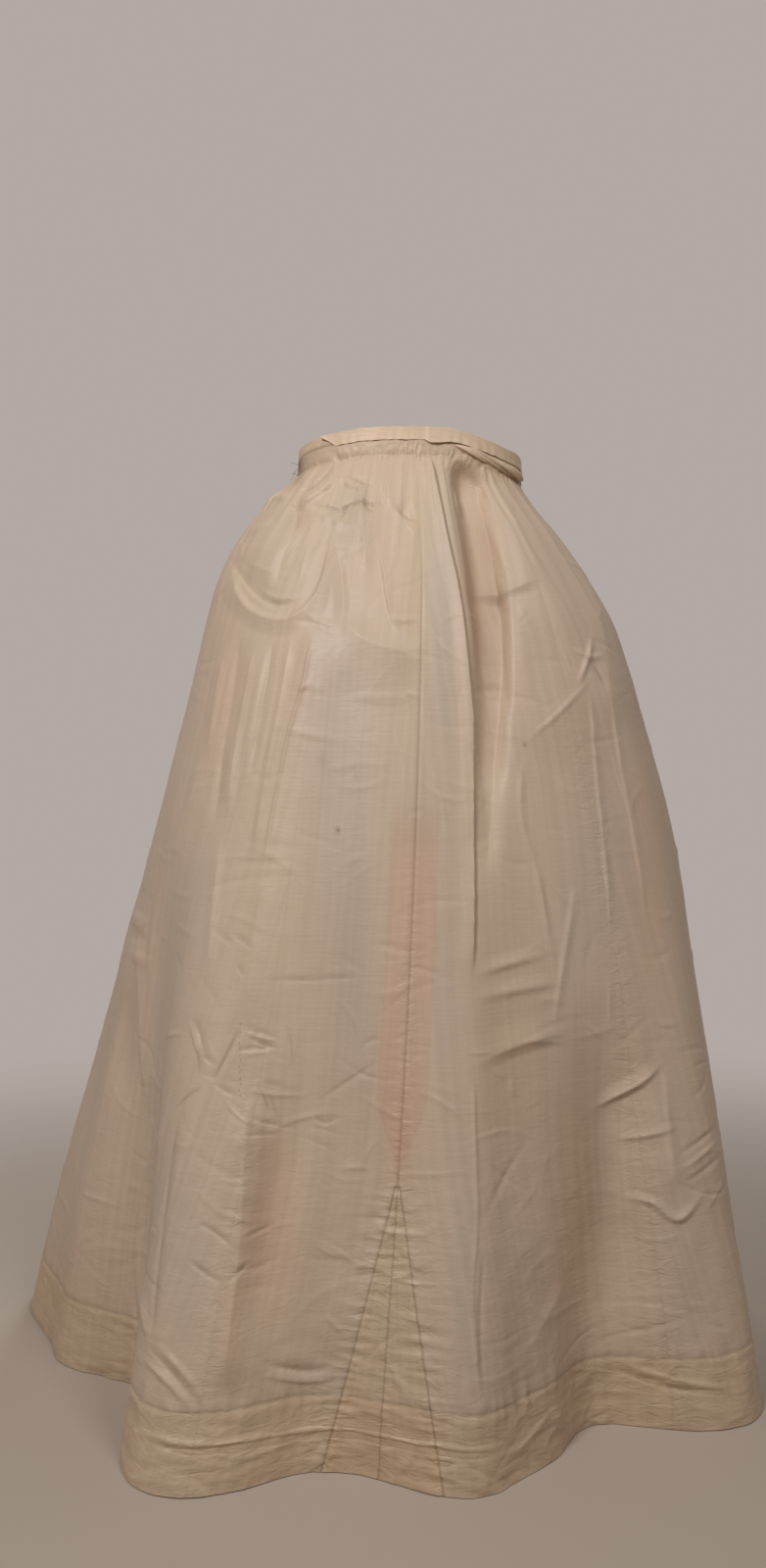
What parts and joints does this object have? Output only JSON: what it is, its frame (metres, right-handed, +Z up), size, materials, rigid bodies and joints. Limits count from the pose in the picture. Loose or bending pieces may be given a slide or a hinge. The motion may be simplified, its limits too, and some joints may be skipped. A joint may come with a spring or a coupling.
{
  "type": "skirt",
  "caption": "Floor-length gored taffeta skirt with a narrow taped waistband, soft gathers, an inverted front pleat, a gusset let in at the front hem and a deep turned-up hem.",
  "frame": {"origin": "middle of the waist seam, where the waistband meets the gores", "axes": "+Z up out of the waist, front of the skirt facing -Y, wearer's left on +X"},
  "size_m": [0.7484, 0.7355, 0.9338],
  "materials": {
    "taffeta": "crisp silk with a soft sheen",
    "waist_cloth": "plain woven, slightly peach",
    "hook_metal": "dull"
  },
  "bodies": {
    "root": {"right_front_gore": "taffeta", "left_front_gore": "taffeta", "right_side_gore": "taffeta", "left_side_gore": "taffeta", "right_back_gore": "taffeta", "left_back_gore": "taffeta", "right_gusset": "taffeta", "left_gusset": "taffeta", "waistband": "waist_cloth", "waist_tape": "waist_cloth", "waist_hooks": "hook_metal", "waist_eyes": "hook_metal"}
  },
  "joints": []
}
